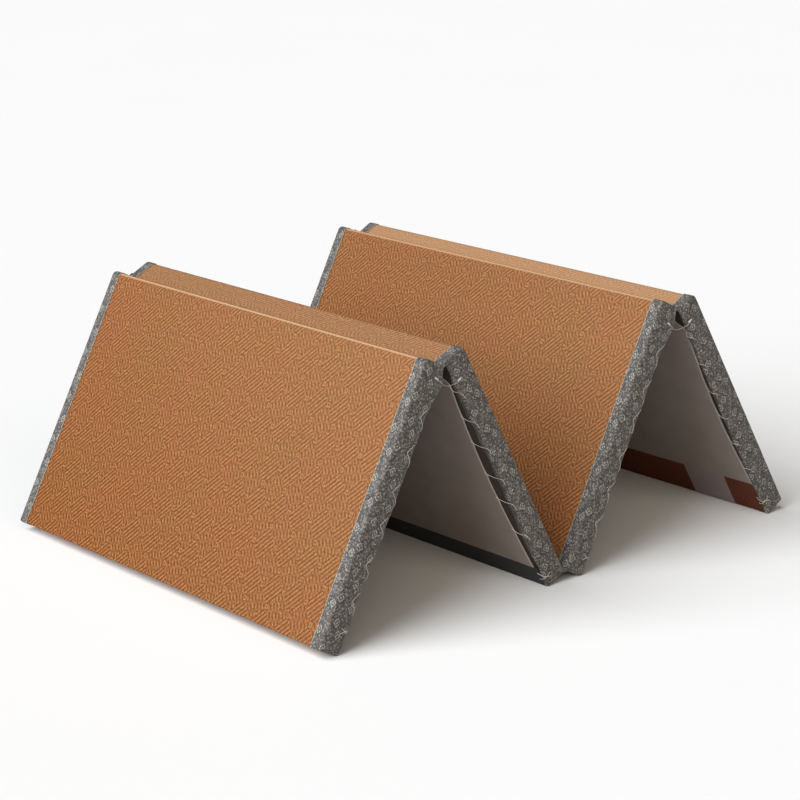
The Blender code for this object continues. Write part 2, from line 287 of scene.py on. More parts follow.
def section_line(walls, inset, swell, ends=None, folds=FOLDS):
    """The spots of one surface of a layer, along walls given as (panel, wall). With no ends it closes.

    swell(panel, wall, s) is how far the surface stands towards the face there."""
    lines = [wall_line(panel, wall, inset) for panel, wall in walls]
    count = len(walls)
    corners = [meeting(lines[k - 1], lines[k]) for k in range(count)]
    corners.append(corners[0])
    if ends:
        corners[0], corners[-1] = ends
    arcs = []
    for k in range(count + 1):
        if ends and k in (0, count):
            arcs.append([corners[k]])
            continue
        radius, grows = folds[(walls[k - 1][1], walls[k % count][1])]
        before = corners[k - 1] if k else corners[count - 1]
        after = corners[k + 1] if k < count else corners[1]
        arcs.append(fillet(before, corners[k], after, max(radius + grows * inset, LAYER_GAP)))
    spots = []

    def put(point, owner):
        panel, wall = owner
        s = panel_place(panel, *point)[0]
        move = swell(panel, wall, s)
        _, across = axes(panel)
        spots.append(Spot(point[0] + move * across[0], point[1] + move * across[1], panel, wall, s))

    for k, owner in enumerate(walls):
        arc = arcs[k]
        for index, point in enumerate(arc):
            put(point, owner if index * 2 >= len(arc) or (ends and k == 0) else walls[k - 1])
        if owner[1] in LONG_WALLS:
            start, end = Vector(arc[-1]), Vector(arcs[k + 1][0])
            for step in range(1, PANEL_STEPS):
                put(tuple(start.lerp(end, step / PANEL_STEPS)), owner)
    if ends:
        put(corners[-1], walls[-1])
    return spots


FACE_WALLS = [
    (FIRST, "foot"), (FIRST, "face"), (FIRST, "head"),
    (SECOND, "head"), (SECOND, "face"),
    (THIRD, "face"), (THIRD, "head"),
    (LAST, "head"), (LAST, "face"), (LAST, "foot"),
]
BACK_WALLS = [
    (LAST, "back"), (THIRD, "back"), (THIRD, "foot"),
    (SECOND, "foot"), (SECOND, "back"), (FIRST, "back"),
]
CLOTH_WALLS = [(FIRST, "back")] + FACE_WALLS + [(LAST, "back")]
TAPE_WALLS = [(SECOND, "back"), (SECOND, "foot"), (THIRD, "foot"), (THIRD, "back")]


def ends_the_mat(panel):
    return panel in (FIRST, LAST)


def lining_from(panel):
    """How far up the slope the lining starts: above the turned-in cloth or above the tape."""
    return TURN_IN if ends_the_mat(panel) else TAPE_HEIGHT + LAYER_GAP


def back_crown_from(panel):
    """How far up the slope the backing starts to swell, clear of the laps at the foot."""
    return lining_from(panel) + (2 * LAP if ends_the_mat(panel) else LAP)


def lining_edge(panel, s):
    """How far from the middle of the mat the lining reaches."""
    return HALF_WIDTH - panel.lining_inset - panel.inset_bow * hump(s)


def stitch_places(panel):
    """Where up a panel the whip stitches bite into the web."""
    shuffle = random.Random(7 + panel.index)
    return [FIRST_STITCH + k * STITCH_SPACING + shuffle.uniform(-0.005, 0.005) for k in range(STITCHES)]


def web_bow(panel, s):
    """How far the binding's stitched edge stands in from the backing, with the stitches' scallops."""
    wave = 0.5 - 0.5 * math.cos(2 * math.pi * (s - FIRST_STITCH - STITCH_SPACING / 2) / STITCH_SPACING)
    reach = BUNCH_ABOVE if s > BUNCH_AT else BUNCH_BELOW
    bunch = panel.bunch * math.exp(-(((s - BUNCH_AT) / reach) ** 2))
    drawn = SCALLOP * (1 if panel.rises else 2) * (wave - 0.5) * hump(s) ** 0.5
    return -panel.edge_bow * hump(s) + drawn - bunch


def lining_side(panel, s):
    """How far from the middle the dressed lining reaches: less where it folds at the ridge."""
    cut = RIDGE_CUT * smooth((s - CUT_FROM) / CUT_OVER)
    return lining_edge(panel, s) + FLARE * (1 - hump(s)) - cut


# Meshes


def new_piece(name, verts, faces, loop_uvs, material):
    """A mesh object with a UV map in metres, one pair for each corner of each face."""
    mesh = bpy.data.meshes.new(name)
    mesh.from_pydata(verts, [], faces)
    mesh.uv_layers.new(name="UVMap").data.foreach_set("uv", np.array(loop_uvs, dtype=np.float32).ravel())
    mesh.materials.append(material)
    piece = bpy.data.objects.new(name, mesh)
    bpy.context.scene.collection.objects.link(piece)
    return piece


def band(low, high, count, closed=False):
    """The quads between two rows of count vertices, whose first ones are low and high."""
    return [(low + k, low + (k + 1) % count, high + (k + 1) % count, high + k)
            for k in range(count if closed else count - 1)]


def grid_piece(name, rows, uvs, material, flip=False):
    """A sheet from rows of points, with one UV pair a point."""
    across = len(rows[0])
    faces = [face for r in range(len(rows) - 1) for face in band(r * across, (r + 1) * across, across)]
    if flip:
        faces = [face[::-1] for face in faces]
    verts = [point for row in rows for point in row]
    flat = [uv for row in uvs for uv in row]
    return new_piece(name, verts, faces, [flat[v] for face in faces for v in face], material)


def only(piece):
    """Makes one object the only selected and active one."""
    bpy.ops.object.select_all(action="DESELECT")
    piece.select_set(True)
    bpy.context.view_layer.objects.active = piece


def thicken(piece, thickness):
    """Gives a single layer its thickness inwards, and smooth shading."""
    only(piece)
    solidify = piece.modifiers.new("Thickness", "SOLIDIFY")
    solidify.thickness = thickness
    solidify.offset = -1
    bpy.ops.object.modifier_apply(modifier=solidify.name)
    bpy.ops.object.shade_smooth_by_angle(angle=math.radians(40))
    return piece


def developed(spots):
    """How far along the section line each spot lies."""
    lengths = [0.0]
    for a, b in zip(spots, spots[1:]):
        lengths.append(lengths[-1] + math.hypot(b.x - a.x, b.z - a.z))
    return lengths


def spread(low, high, count):
    return [low + (high - low) * k / (count - 1) for k in range(count)]


# Materials


def add(tree, kind, inputs=(), **settings):
    """Adds a node with its settings. An input is a value, a socket, or a node, whose first output it takes."""
    node = tree.nodes.new(kind)
    for name, value in settings.items():
        setattr(node, name, value)
    for key, value in inputs.items() if isinstance(inputs, dict) else enumerate(inputs):
        if isinstance(value, bpy.types.Node):
            value = value.outputs[0]
        if isinstance(value, bpy.types.NodeSocket):
            tree.links.new(value, node.inputs[key])
        elif value is not None:
            node.inputs[key].default_value = value
    return node


MATH = "ShaderNodeMath"
MIX = "ShaderNodeMix"
NOISE = "ShaderNodeTexNoise"
RANGE = "ShaderNodeMapRange"
COVER = {"data_type": "RGBA", "blend_type": "MIX"}  # one colour over another, by a share
TINT = {"data_type": "RGBA", "blend_type": "MULTIPLY"}  # one colour dyed by another


def new_material(name, roughness):
    """A material and its shader, with roughness set on the socket."""
    material = bpy.data.materials.new(name)
    material.use_nodes = True
    shader = material.node_tree.nodes["Principled BSDF"]
    shader.inputs["Roughness"].default_value = roughness
    return material, material.node_tree, shader


def cloth_place(tree):
    """A cloth's UV place and its two values, in metres."""
    place = add(tree, "ShaderNodeUVMap", uv_map="UVMap")
    parts = add(tree, "ShaderNodeSeparateXYZ", (place,))
    return place, parts.outputs["X"], parts.outputs["Y"]


def darker(colour, share):
    """A colour taken down to a share of its light."""
    return [share * value for value in colour[:3]] + [1]


def wave(tree, phase):
    """A soft wave from 0 to 1 that repeats with each whole step of phase."""
    turned = add(tree, MATH, (phase, 2 * math.pi), operation="MULTIPLY")
    return add(tree, MATH, (add(tree, MATH, (turned,), operation="SINE"), 0.5, 0.5), operation="MULTIPLY_ADD")


TWILL_LINES = 6  # diagonal lines in each repeat of the weave, both ways
EYE_SIZE = 0.10  # half width of the small concentric squares between the blocks, in repeats


def weave_height(tree, u, v):
    """The rush-look jacquard: diamond blocks of diagonal lines with small square eyes between them.

    u and v count repeats of the weave. One block's lines fall to the right, the next one's rise."""
    falling = add(tree, MATH, (u, v), operation="ADD")
    rising = add(tree, MATH, (u, v), operation="SUBTRACT")
    lines_a = wave(tree, add(tree, MATH, (falling, TWILL_LINES), operation="MULTIPLY"))
    # the rising block's lines are broken into short steep floats, a second wave crossing the first
    steep = add(tree, MATH, (add(tree, MATH, (u, 7.0), operation="MULTIPLY"), v), operation="SUBTRACT")
    steep = add(tree, MATH, (steep, v), operation="SUBTRACT")
    lines_b = wave(tree, add(tree, MATH, (rising, TWILL_LINES), operation="MULTIPLY"))
    floats = wave(tree, steep)
    lines_b = add(tree, MATH, (lines_b, 0.52, add(tree, MATH, (floats, 0.48), operation="MULTIPLY")),
                  operation="MULTIPLY_ADD")
    # the blocks end in steps, one thread group at a time
    cosines = []
    for value in (u, v):
        stepped = add(tree, MATH, (value, 0.5 / TWILL_LINES), operation="SNAP")
        turned = add(tree, MATH, (stepped, 2 * math.pi, math.pi / 2 / TWILL_LINES), operation="MULTIPLY_ADD")
        cosines.append(add(tree, MATH, (turned,), operation="COSINE"))
    block = add(tree, MATH, (add(tree, MATH, tuple(cosines), operation="ADD"), 0.0), operation="GREATER_THAN")
    lines = add(tree, MIX, {0: block, 2: lines_b, 3: lines_a}, data_type="FLOAT")
    # an eye sits where two blocks of a kind touch corners
    sides = []
    for value in (falling, rising):
        part = add(tree, MATH, (add(tree, MATH, (value,), operation="FRACT"), 0.5), operation="SUBTRACT")
        sides.append(part)
    across = add(tree, MATH, (add(tree, MATH, tuple(sides), operation="ADD"),), operation="ABSOLUTE")
    along = add(tree, MATH, (add(tree, MATH, tuple(sides), operation="SUBTRACT"),), operation="ABSOLUTE")
    reach = add(tree, MATH, (across, along), operation="MAXIMUM")
    ring = wave(tree, add(tree, MATH, (reach, 0.5 / EYE_SIZE, -0.25), operation="MULTIPLY_ADD"))
    near_eye = add(tree, MATH, (reach, 2 * EYE_SIZE), operation="LESS_THAN")
    return add(tree, MIX, {0: near_eye, 2: lines, 3: ring}, data_type="FLOAT")


def woven_rush_look(sizes, colours):
    """Yarn-dyed jacquard, calendered to a slight sheen: raised honey lines over brown hollows."""
    material, tree, shader = new_material("Woven rush-look cotton", 0.62)
    place, u, v = cloth_place(tree)
    u = add(tree, MATH, (u, 1 / sizes.weave_repeat_across), operation="MULTIPLY")
    v = add(tree, MATH, (v, 1 / sizes.weave_repeat_along), operation="MULTIPLY")
    height = weave_height(tree, u, v)
    # slubs in the yarn vary each line a little
    slub = add(tree, NOISE, {"Vector": place, "Scale": 1 / 0.0055, "Detail": 3.0, "Roughness": 0.65})
    mottled = add(tree, MATH, (add(tree, MATH, (slub, 0.5), operation="SUBTRACT"), 0.9, height),
                  operation="MULTIPLY_ADD")
    share = add(tree, RANGE, (mottled, 0.06, 0.94, 0.0, 1.0))
    colour = add(tree, MIX, {0: share, 6: list(colours.rush_dark), 7: list(colours.rush_light)}, **COVER).outputs[2]
    # the dye lot wanders between redder and yellower over a hand's width
    drift = add(tree, RANGE, (add(tree, NOISE, {"Vector": place, "Scale": 1 / 0.16, "Detail": 3.0}), 0.36, 0.64,
                              0.0, 1.0))
    tint = add(tree, MIX, {0: drift, 6: linear("#FFE8DC"), 7: linear("#F2F1D4")}, **COVER).outputs[2]
    colour = add(tree, MIX, {0: 0.55, 6: colour, 7: tint}, **TINT).outputs[2]
    # grain: single yarns stand out lighter and darker
    grain = add(tree, RANGE, (add(tree, NOISE, {"Vector": place, "Scale": 1 / 0.0042, "Roughness": 0.6}), 0.34,
                              0.66, 0.57, 1.43))
    colour = add(tree, MIX, {0: 1.0, 6: colour, 7: add(tree, "ShaderNodeCombineXYZ", (grain, grain, grain))},
                 **TINT).outputs[2]
    # painted highlight along the ridge folds, painted sheen over the head walls, a little paler towards the ridges
    # and the near side, and painted shade where it is turned in
    wear = add(tree, "ShaderNodeAttribute", attribute_name="wear")
    colour = add(tree, MIX, {0: wear.outputs["Fac"], 6: colour, 7: linear("#EBC8A0")}, **COVER).outputs[2]
    turned = add(tree, "ShaderNodeAttribute", attribute_name="turned_in_painted_shade")
    colour = add(tree, MIX, {0: turned.outputs["Fac"], 6: colour, 7: linear("#4C2014")}, **COVER).outputs[2]
    tree.links.new(colour, shader.inputs["Base Color"])
    bump = add(tree, "ShaderNodeBump", {"Height": mottled, "Strength": 0.4, "Distance": 0.0006})
    tree.links.new(bump.outputs[0], shader.inputs["Normal"])
    shader.inputs["Specular IOR Level"].default_value = 0.12
    return material


LOZENGE = (0.0086, 0.0074)  # half sizes of a lozenge, along and across the binding
PAIR_DOWN = (-0.0062, 0.0055)  # one lozenge of the falling pair; its twin is opposite
PAIR_UP = (0.0090, 0.0048)  # one lozenge of the rising pair
DASH = 0.0075  # a dash and its gap in the lines between the pairs
CROSSING = 0.0026  # one thread crossing, drawn coarser than it is so that it shows


def lozenge_pair(tree, u, v, repeat, rows, shift, offset):
    """How far a place lies from the nearest of a pair of lozenges; under 1 is inside one."""
    x = add(tree, MATH, (add(tree, MATH, (u, shift[0]), operation="ADD"), repeat / 2, -repeat / 2),
            operation="WRAP")
    y = add(tree, MATH, (add(tree, MATH, (v, shift[1]), operation="ADD"), rows / 2, -rows / 2), operation="WRAP")
    x = add(tree, MATH, (x, add(tree, MATH, (y,), operation="SIGN")), operation="MULTIPLY")
    y = add(tree, MATH, (y,), operation="ABSOLUTE")
    reach = []
    for value, centre, half in ((x, offset[0], LOZENGE[0]), (y, offset[1], LOZENGE[1])):
        away = add(tree, MATH, (add(tree, MATH, (value, centre), operation="SUBTRACT"),), operation="ABSOLUTE")
        reach.append(add(tree, MATH, (away, 1 / half), operation="MULTIPLY"))
    return add(tree, MATH, tuple(reach), operation="ADD")


def brocade(sizes, colours):
    """Grey brocade, machine woven: pairs of small pale lozenges on a two-tone ground."""
    material, tree, shader = new_material("Grey brocade", 0.7)
    place, u, v = cloth_place(tree)
    repeat, rows = sizes.brocade_repeat, sizes.brocade_rows
    falling = lozenge_pair(tree, u, v, repeat, rows, (0, 0), PAIR_DOWN)
    rising = lozenge_pair(tree, u, v, repeat, rows, (repeat / 2, rows / 2), PAIR_UP)
    nearest = add(tree, MATH, (falling, rising), operation="MINIMUM")
    # a pale outline and heart in each lozenge, with a dark ring between them and a dark rim outside
    outline = add(tree, RANGE, (add(tree, MATH, (add(tree, MATH, (nearest, 0.84), operation="SUBTRACT"),),
                                operation="ABSOLUTE"), 0.06, 0.30, 1.0, 0.0))
    heart = add(tree, RANGE, (nearest, 0.15, 0.50, 1.0, 0.0))
    patches = add(tree, RANGE, (add(tree, NOISE, {"Vector": place, "Scale": 1 / 0.012, "Detail": 4.0,
                                                  "Roughness": 0.65}), 0.38, 0.60, 0.50, 1.06))
    rim = add(tree, MATH, (add(tree, RANGE, (nearest, 1.0, 1.7, 0.55, 1.0)), patches), operation="MULTIPLY")
    # dashed lines cross between the pairs
    lines = []
    for way in ("ADD", "SUBTRACT"):
        cell = add(tree, MATH, (add(tree, MATH, (u, 1 / repeat), operation="MULTIPLY"),
                                add(tree, MATH, (v, 1 / rows), operation="MULTIPLY")), operation=way)
        away = add(tree, MATH, (add(tree, MATH, (cell, 0.5, -0.5), operation="WRAP"),), operation="ABSOLUTE")
        lines.append(add(tree, RANGE, (away, 0.43, 0.49, 0.0, 1.0)))
    trellis = add(tree, MATH, tuple(lines), operation="MAXIMUM")
    dashes = wave(tree, add(tree, MATH, (u, 1 / DASH), operation="MULTIPLY"))
    dashes = add(tree, RANGE, (dashes, 0.35, 0.6, 0.0, 1.0))
    trellis = add(tree, MATH, (trellis, dashes), operation="MULTIPLY")
    # each thread crossing is a little lighter or darker than the next
    fleck = add(tree, NOISE, {"Vector": place, "Scale": 1 / CROSSING, "Detail": 1.0})
    broken = add(tree, RANGE, (fleck, 0.38, 0.64, 0.1, 1.0))
    pale = add(tree, MATH, (add(tree, MATH, (outline, heart), operation="MAXIMUM"),
                            add(tree, MATH, (trellis, 0.5), operation="MULTIPLY")), operation="MAXIMUM")
    pale = add(tree, MATH, (pale, broken), operation="MULTIPLY")
    floats = add(tree, RANGE, (add(tree, NOISE, {"Vector": place, "Scale": 1 / 0.0034, "Detail": 1.0}), 0.48, 0.74,
                               0.0, 0.7))
    floats = add(tree, MATH, (floats, rim), operation="MULTIPLY")
    check = add(tree, "ShaderNodeTexChecker", {"Vector": place, "Scale": 1 / CROSSING})
    ground = list(colours.brocade_ground)
    dark = darker(ground, 0.6)
    colour = add(tree, MIX, {0: check.outputs["Fac"], 6: dark, 7: ground}, **COVER).outputs[2]
    hue = add(tree, RANGE, (add(tree, NOISE, {"Vector": place, "Scale": 1 / 0.011, "Detail": 1.0}), 0.38, 0.62, 0.0,
                            1.0))
    tint = add(tree, MIX, {0: hue, 6: linear("#F4EED6"), 7: linear("#DEE6F6")}, **COVER).outputs[2]
    colour = add(tree, MIX, {0: 0.7, 6: colour, 7: tint}, **TINT).outputs[2]
    # painted light: the web is tinted warmer and darker, as in warm shade, and the flange cooler, as under the cool
    # key light
    painted_light_share = add(tree, RANGE, (v, -0.006, 0.004, 0.0, 1.0))
    tint = add(tree, MIX, {0: painted_light_share, 6: linear("#EEE9E2"), 7: linear("#F6F6FF")}, **COVER).outputs[2]
    colour = add(tree, MIX, {0: 1.0, 6: colour, 7: tint}, **TINT).outputs[2]
    colour = add(tree, MIX, {0: 1.0, 6: colour, 7: add(tree, "ShaderNodeCombineXYZ", (rim, rim, rim))},
                 **TINT).outputs[2]
    colour = add(tree, MIX, {0: floats, 6: colour, 7: darker(colours.brocade_figure, 0.85)}, **COVER).outputs[2]
    colour = add(tree, MIX, {0: pale, 6: colour, 7: list(colours.brocade_figure)}, **COVER).outputs[2]
    # painted shade on the binding's edge where it curls under into the groove
    under = add(tree, "ShaderNodeAttribute", attribute_name="curl_painted_shade")
    colour = add(tree, MIX, {0: under.outputs["Fac"], 6: colour, 7: linear("#1E1612")}, **COVER).outputs[2]
    # the raw edge on the face is frayed pale
    edge = add(tree, "ShaderNodeAttribute", attribute_name="raw_edge")
    fray = add(tree, RANGE, (edge.outputs["Fac"], 0.55, 0.9, 0.0, 0.7))
    fray = add(tree, MATH, (fray, broken), operation="MULTIPLY")
    colour = add(tree, MIX, {0: fray, 6: colour, 7: linear("#C4B696")}, **COVER).outputs[2]
    tree.links.new(colour, shader.inputs["Base Color"])
    height = add(tree, MATH, (add(tree, MATH, (pale, floats), operation="MAXIMUM"), 1.0,
                              add(tree, MATH, (fleck, 0.6), operation="MULTIPLY")), operation="MULTIPLY_ADD")
    bump = add(tree, "ShaderNodeBump", {"Height": height, "Strength": 0.6, "Distance": 0.0007})
    tree.links.new(bump.outputs[0], shader.inputs["Normal"])
    shader.inputs["Sheen Weight"].default_value = 0.1
    return material


def cover_with_painted_shade():
    """The pads' own cover: plain-woven brown cotton, seen only in the grooves behind the stitches; drawn near
    black, as painted shade of those grooves.
    """
    material, tree, shader = new_material("Cotton cover with painted groove shade", 0.9)
    place = add(tree, "ShaderNodeUVMap", uv_map="UVMap")
    share = add(tree, NOISE, {"Vector": place, "Scale": 1 / 0.006})
    # near-black browns: painted shade of the grooves
    colour = add(tree, MIX, {0: share, 6: linear("#120D0A"), 7: linear("#2C211B")}, **COVER).outputs[2]
    tree.links.new(colour, shader.inputs["Base Color"])
    return material


def nonwoven(colours):
    """Spunbond polypropylene: flat, matt, with a faint cloudiness and fine fibres."""
    material, tree, shader = new_material("Spunbond lining", 0.85)
    place = add(tree, "ShaderNodeUVMap", uv_map="UVMap")
    clouds = add(tree, RANGE, (add(tree, NOISE, {"Vector": place, "Scale": 1 / 0.05, "Detail": 3.0}), 0.3, 0.7, 0.0,
                               1.0))
    lining = list(colours.lining)
    colour = add(tree, MIX, {0: clouds, 6: darker(lining, 0.88), 7: lining}, **COVER).outputs[2]
    # painted highlight along the cut edge, where it catches the light
    hem_highlight = add(tree, "ShaderNodeAttribute", attribute_name="hem_highlight")
    colour = add(tree, MIX, {0: hem_highlight.outputs["Fac"], 6: colour, 7: linear("#C2B6AC")}, **COVER).outputs[2]
    tree.links.new(colour, shader.inputs["Base Color"])
    fibres = add(tree, NOISE, {"Vector": place, "Scale": 1 / 0.0015, "Roughness": 0.7})
    bump = add(tree, "ShaderNodeBump", {"Height": fibres, "Strength": 0.25, "Distance": 0.0004})
    tree.links.new(bump.outputs[0], shader.inputs["Normal"])
    return material


def ribbed(name, colour, rib, roughness):
    """Narrow woven goods with a fine cross rib, rib metres apart."""
    material, tree, shader = new_material(name, roughness)
    place, _, v = cloth_place(tree)
    ribs = wave(tree, add(tree, MATH, (v, 1 / rib), operation="MULTIPLY"))
    fuzz = add(tree, NOISE, {"Vector": place, "Scale": 1 / 0.003})
    share = add(tree, MATH, (ribs, add(tree, MATH, (fuzz, 0.4), operation="MULTIPLY")), operation="ADD")
    mixed = add(tree, MIX, {0: share, 6: darker(colour, 0.72), 7: list(colour)}, **COVER).outputs[2]
    tree.links.new(mixed, shader.inputs["Base Color"])
    bump = add(tree, "ShaderNodeBump", {"Height": share, "Strength": 0.4, "Distance": 0.0004})
    tree.links.new(bump.outputs[0], shader.inputs["Normal"])
    return material


def spun_thread(colours):
    """Waxed polyester thread: pale, slightly glossy, darker in the twist."""
    material, tree, shader = new_material("Pale twisted thread", 0.5)
    place = add(tree, "ShaderNodeTexCoord").outputs["Object"]
    twist = add(tree, RANGE, (add(tree, NOISE, {"Vector": place, "Scale": 1 / 0.002}), 0.3, 0.7, 0.0, 1.0))
    pale = list(colours.thread)
    colour = add(tree, MIX, {0: twist, 6: darker(pale, 0.7), 7: pale}, **COVER).outputs[2]
    tree.links.new(colour, shader.inputs["Base Color"])
    return material


def studio_floor(colours):
    """Matt painted studio floor with a faint unevenness."""
    material, tree, shader = new_material("Matt studio floor", 0.9)
    place = add(tree, "ShaderNodeTexCoord").outputs["Object"]
    floor = list(colours.floor)
    drift = add(tree, NOISE, {"Vector": place, "Scale": 1 / 0.8})
    colour = add(tree, MIX, {0: drift, 6: darker(floor, 0.985), 7: floor}, **COVER).outputs[2]
    tree.links.new(colour, shader.inputs["Base Color"])
    return material


# Pieces


def mat_settings(context):
    return context.scene.tatami_sizes, context.scene.tatami_colours


class TATAMI_OT_pads(bpy.types.Operator):
    """Makes the four stiff pads in their turned-under cover"""

    bl_idname = "tatami.pads"
    bl_label = "Pads"

    def execute(self, context):
        sizes, _ = mat_settings(context)
        cover = cover_with_painted_shade()
        for panel in PANELS:
            narrowest = lining_edge(panel, PANEL_LENGTH / 2)
            places = [-y for y in spread(narrowest, PAD_HALF, 7)[::-1]] + spread(-narrowest, narrowest, 25)[1:-1]
            places += spread(narrowest, PAD_HALF, 7)
            sections = [pad_section(panel, y, sizes.flange_width) for y in places]
            rows = [[(x, y, z) for x, z in section] for y, section in zip(places, sections)]
            piece = closed_loft(f"stiff_pad_{panel.index + 1}", rows, cover)
            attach(piece, "root")
            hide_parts(f"padded_panel_{panel.index + 1}")
        return {"FINISHED"}


def back_point(panel, s, inset, y):
    """A point of a pad's backing: crowned in the middle, drawn in behind the binding's edge."""
    edge = lining_edge(panel, s)
    if abs(y) <= edge:
        return at(panel, s, inset - BACK_CROWN * hump(s, back_crown_from(panel)) * side_share(y, edge))
    towards_side = smooth((abs(y) - edge) / (PAD_HALF - edge))
    drawn = max(GROOVE_DEPTH - panel.edge_bow, 0.0) * hump(s)
    return at(panel, s, inset + drawn * towards_side)


def pad_section(panel, y, flange_width):
    """A pad's closed section at one place across the mat."""
    at_end = ends_the_mat(panel)
    low = PAD_INSET if at_end else TAPE + LAYER_GAP
    high = PANEL_LENGTH - PAD_INSET
    face_n = PANEL_THICKNESS - PAD_INSET
    back_low = PAD_INSET if at_end else BACK_INSET
    foot_back, foot_face = at(panel, low, back_low), at(panel, low, face_n)
    head_face, head_back = at(panel, high, face_n), at(panel, high, BACK_INSET)
    foot_radius = max(FOOT_RADIUS - low, LAYER_GAP)
    crown = FACE_CROWN * side_share(y, HALF_WIDTH - flange_width)
    low_arc = fillet(foot_back, foot_face, head_face, foot_radius, 3)
    high_arc = fillet(foot_face, head_face, head_back, RIDGE_RADIUS - PAD_INSET)
    hinge_arc = fillet(head_face, head_back, at(panel, low, BACK_INSET), PAD_HINGE_RADIUS)
    back_arc = fillet(foot_face, foot_back, at(panel, high, back_low), foot_radius, 3)
    face = []
    for s in spread(panel_place(panel, *low_arc[-1])[0], panel_place(panel, *high_arc[0])[0], 30)[1:-1]:
        face.append(at(panel, s, face_n + crown * hump(s)))
    top = high - PAD_HINGE_RADIUS
    back = [back_point(panel, s, BACK_INSET, y) for s in spread(top, back_crown_from(panel), 30)[1:]]
    back.append(back_point(panel, lining_from(panel) + (LAP + LAYER_GAP if at_end else 0), back_low, y))
    return low_arc + face + high_arc + hinge_arc + back + back_arc


def closed_loft(name, rows, material):
    """A closed form through closed rows of points, with flat ends."""
    count = len(rows[0])
    faces = [face for r in range(len(rows) - 1) for face in band(r * count, (r + 1) * count, count, closed=True)]
    faces.append(tuple(range(count))[::-1])
    faces.append(tuple(range((len(rows) - 1) * count, len(rows) * count)))
    verts = [point for row in rows for point in row]
    lengths = [0.0]
    for a, b in zip(rows[0], rows[0][1:]):
        lengths.append(lengths[-1] + (Vector(b) - Vector(a)).length)
    uvs = [(verts[v][1], lengths[v % count]) for face in faces for v in face]
    piece = new_piece(name, verts, faces, uvs, material)
    mesh = bmesh.new()
    mesh.from_mesh(piece.data)
    bmesh.ops.recalc_face_normals(mesh, faces=mesh.faces)
    bmesh.ops.triangulate(mesh, faces=[face for face in mesh.faces if len(face.verts) > 4])
    mesh.to_mesh(piece.data)
    mesh.free()
    only(piece)
    bpy.ops.object.shade_smooth_by_angle(angle=math.radians(40))
    return piece


class TATAMI_OT_face_cloth(bpy.types.Operator):
    """Lays the woven cloth over every face, turned in on the backing at both ends"""

    bl_idname = "tatami.face_cloth"
    bl_label = "Woven face cloth"

    def execute(self, context):
        sizes, colours = mat_settings(context)
        flange_edge = HALF_WIDTH - sizes.flange_width
        reach = TURN_IN + LAP
        ends = at(FIRST, reach, CLOTH_INSET), at(LAST, reach, CLOTH_INSET)
        rows, uvs, painted_light_values = [], [], []
        places = spread(-CLOTH_HALF, -flange_edge, 4)[:-1] + spread(-flange_edge, flange_edge, 61)
        for y in places + spread(flange_edge, CLOTH_HALF, 4)[1:]:
            crown = FACE_CROWN * side_share(y, flange_edge)

            def swell(panel, wall, s, crown=crown):
                return crown * hump(s) if wall == "face" else 0.0

            spots = section_line(CLOTH_WALLS, CLOTH_INSET, swell, ends)
            rows.append([(spot.x, y, spot.z) for spot in spots])
            uvs.append([(y, v) for v in developed(spots)])
            painted_light_values += [wear(spot, y) for spot in spots]
        piece = grid_piece("woven_face_cloth", rows, uvs, woven_rush_look(sizes, colours))
        # painted highlight along the ridge folds and painted sheen over the head walls
        mark(piece, "wear", painted_light_values)
        # painted shade: the cloth turned in on the backing is drawn dark
        mark(piece, "turned_in_painted_shade", [0.85 if spot.wall == "back" else 0.0 for spot in spots] * len(rows))
        thicken(piece, CLOTH)
        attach(piece, "root")
        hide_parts("face_cloth")
        return {"FINISHED"}


def mark(piece, name, values):
    """Gives a mesh one number a vertex that its material reads."""
    piece.data.attributes.new(name, "FLOAT", "POINT").data.foreach_set("value", values)


HIGHLIGHT_IN, HIGHLIGHT_HALF = 0.004, 0.003  # how far in from the sharp corner the painted highlight line lies, and its half width
FADE_UP = 0.036  # how much paler the face is at a ridge than at a foot
FADE_NEAR = 0.032  # how much paler it is at the near side than at the far one


def wear(spot, y):
    """How much paler the cloth is drawn: most along a ridge's fold, a painted highlight; less over its head wall, a
    painted sheen; a little towards the ridges and the near side.
    """
    _, n = panel_place(spot.panel, spot.x, spot.z)
    away = abs(math.hypot(PANEL_LENGTH - spot.s, PANEL_THICKNESS - n) - HIGHLIGHT_IN)
    fold = spot.panel.fold_wear * (1 - smooth(away / HIGHLIGHT_HALF))
    faded = FADE_UP * spot.s / PANEL_LENGTH + FADE_NEAR * (0.5 - 0.5 * y / CLOTH_HALF)
    return max(fold, faded, spot.panel.head_wear if spot.wall == "head" else 0.0)


def strip_place(spot, across):
    """The UV place of a spot on the binding: how far along the strip, and across from its fold."""
    panel = spot.panel
    _, n = panel_place(panel, spot.x, spot.z)
    along = spot.s
    if spot.wall == "head":
        along += PANEL_THICKNESS - n
    elif spot.wall == "foot":
        along -= PANEL_THICKNESS - n
    return panel_along(panel, along), across


STRIP_BASES = (0.0, 0.566, 1.014, 1.580)  # where each panel starts along the strip


def panel_along(panel, s):
    """How far along the binding strip a place up a panel lies."""
    return STRIP_BASES[panel.index] + (s if panel.rises else PANEL_LENGTH - s)


class TATAMI_OT_edge_bindings(bpy.types.Operator):
    """Folds the brocade strips over both sides of the mat"""

    bl_idname = "tatami.edge_bindings"
    bl_label = "Edge bindings"

    def execute(self, context):
        sizes, colours = mat_settings(context)
        material = brocade(sizes, colours)
        for name, node, side in (("brocade_binding_near", "edge_binding_near", -1),
                                 ("brocade_binding_far", "edge_binding_far", 1)):
            piece = edge_binding(name, side, HALF_WIDTH - sizes.flange_width, material)
            thicken(piece, BINDING)
            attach(piece, "root")
            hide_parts(node)
        return {"FINISHED"}


